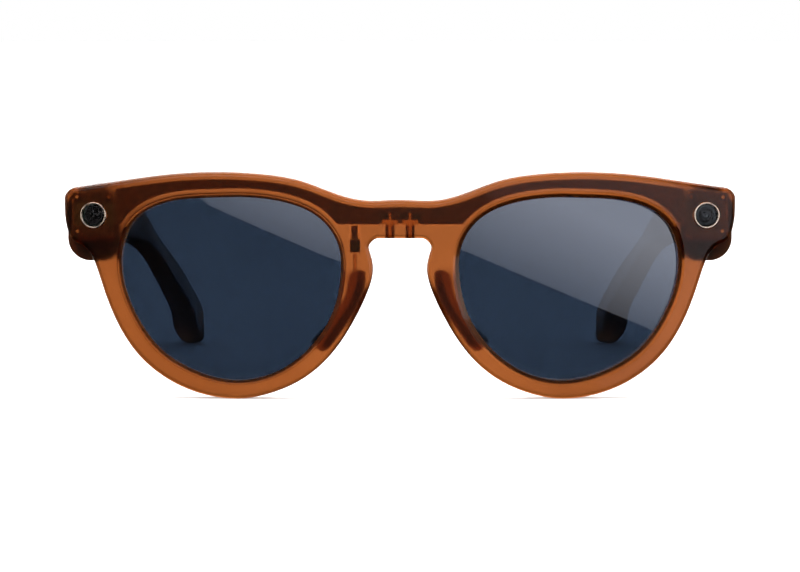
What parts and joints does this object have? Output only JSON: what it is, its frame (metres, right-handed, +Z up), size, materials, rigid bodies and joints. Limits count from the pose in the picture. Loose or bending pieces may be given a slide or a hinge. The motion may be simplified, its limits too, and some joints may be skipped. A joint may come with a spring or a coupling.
{
  "type": "smart glasses",
  "caption": "Smart glasses with rounded tinted lenses in a translucent caramel frame, a camera and a capture light at the corners, and thick folding temples.",
  "frame": {"origin": "on the table under the middle of the open glasses, which stand on the two rims and the two ear tips", "axes": "+X towards the wearer's left, +Y from the front to the ear tips, +Z up"},
  "size_m": [0.1468, 0.1496, 0.0496],
  "materials": {
    "frame_plastic": "translucent caramel, polished",
    "lens_tint": "blue-grey tint",
    "ring_metal": "champagne, fine satin",
    "black_glass": "black",
    "steel": "satin",
    "black_steel": "black oxide",
    "contact_gold": "plated",
    "flex": "dark amber film",
    "circuit_board": "solder mask",
    "shield_metal": "stamped",
    "battery_foil": "pouch foil",
    "clear_plastic": "clear",
    "black_plastic": "fine texture"
  },
  "bodies": {
    "front": {"front_frame": "frame_plastic", "brow_cover": "frame_plastic", "lens_left": "lens_tint", "lens_right": "lens_tint", "camera_trim_ring": "ring_metal", "camera_cover_glass": "black_glass", "camera_module": "black_plastic", "camera_bracket": "black_steel", "light_trim_ring": "ring_metal", "light_window": "black_glass", "light_board": "circuit_board", "light_bracket": "black_steel", "bracket_screws": "steel", "brow_carrier": "black_plastic", "brow_flex": "flex", "nose_mic_flex": "flex", "nose_microphone": "black_plastic", "charging_contacts": "contact_gold", "status_light_pipe": "clear_plastic", "hinge_plate_left": "steel", "hinge_plate_right": "steel", "hinge_pin_left": "steel", "hinge_pin_right": "steel", "front_hinge_screws": "steel"},
    "temple_left": {"temple_shell_left": "frame_plastic", "temple_cover_left": "frame_plastic", "hinge_leaf_left": "steel", "leaf_screws_left": "steel", "speaker_left": "black_plastic", "speaker_mesh_left": "shield_metal", "temple_mic_left": "black_plastic", "battery": "battery_foil", "battery_board": "circuit_board", "slide_switch": "black_plastic"},
    "temple_right": {"temple_shell_right": "frame_plastic", "temple_cover_right": "frame_plastic", "hinge_leaf_right": "steel", "leaf_screws_right": "steel", "speaker_right": "black_plastic", "speaker_mesh_right": "shield_metal", "temple_mic_right": "black_plastic", "main_board": "circuit_board", "processor_shield": "shield_metal", "touch_sensor": "flex", "tact_switch": "black_plastic"},
    "capture_button": {"capture_button": "frame_plastic"},
    "power_switch": {"power_switch": "frame_plastic"}
  },
  "joints": [
    {"name": "temple_left_fold", "type": "hinge", "parent": "front", "child": "temple_left", "pos_m": [0.0624, -0.0625, 0.0383], "axis": [0, 0, 1], "range_deg": [0, 85]},
    {"name": "temple_right_fold", "type": "hinge", "parent": "front", "child": "temple_right", "pos_m": [-0.0624, -0.0625, 0.0383], "axis": [0, 0, -1], "range_deg": [0, 61]},
    {"name": "capture_button_press", "type": "slide", "parent": "temple_right", "child": "capture_button", "axis": [0, 0, -1], "range_m": [0, 0.00035], "stiffness_N_per_m": 1200},
    {"name": "power_switch_slide", "type": "slide", "parent": "temple_left", "child": "power_switch", "axis": [0, 1, 0], "range_m": [0, 0.002]}
  ]
}
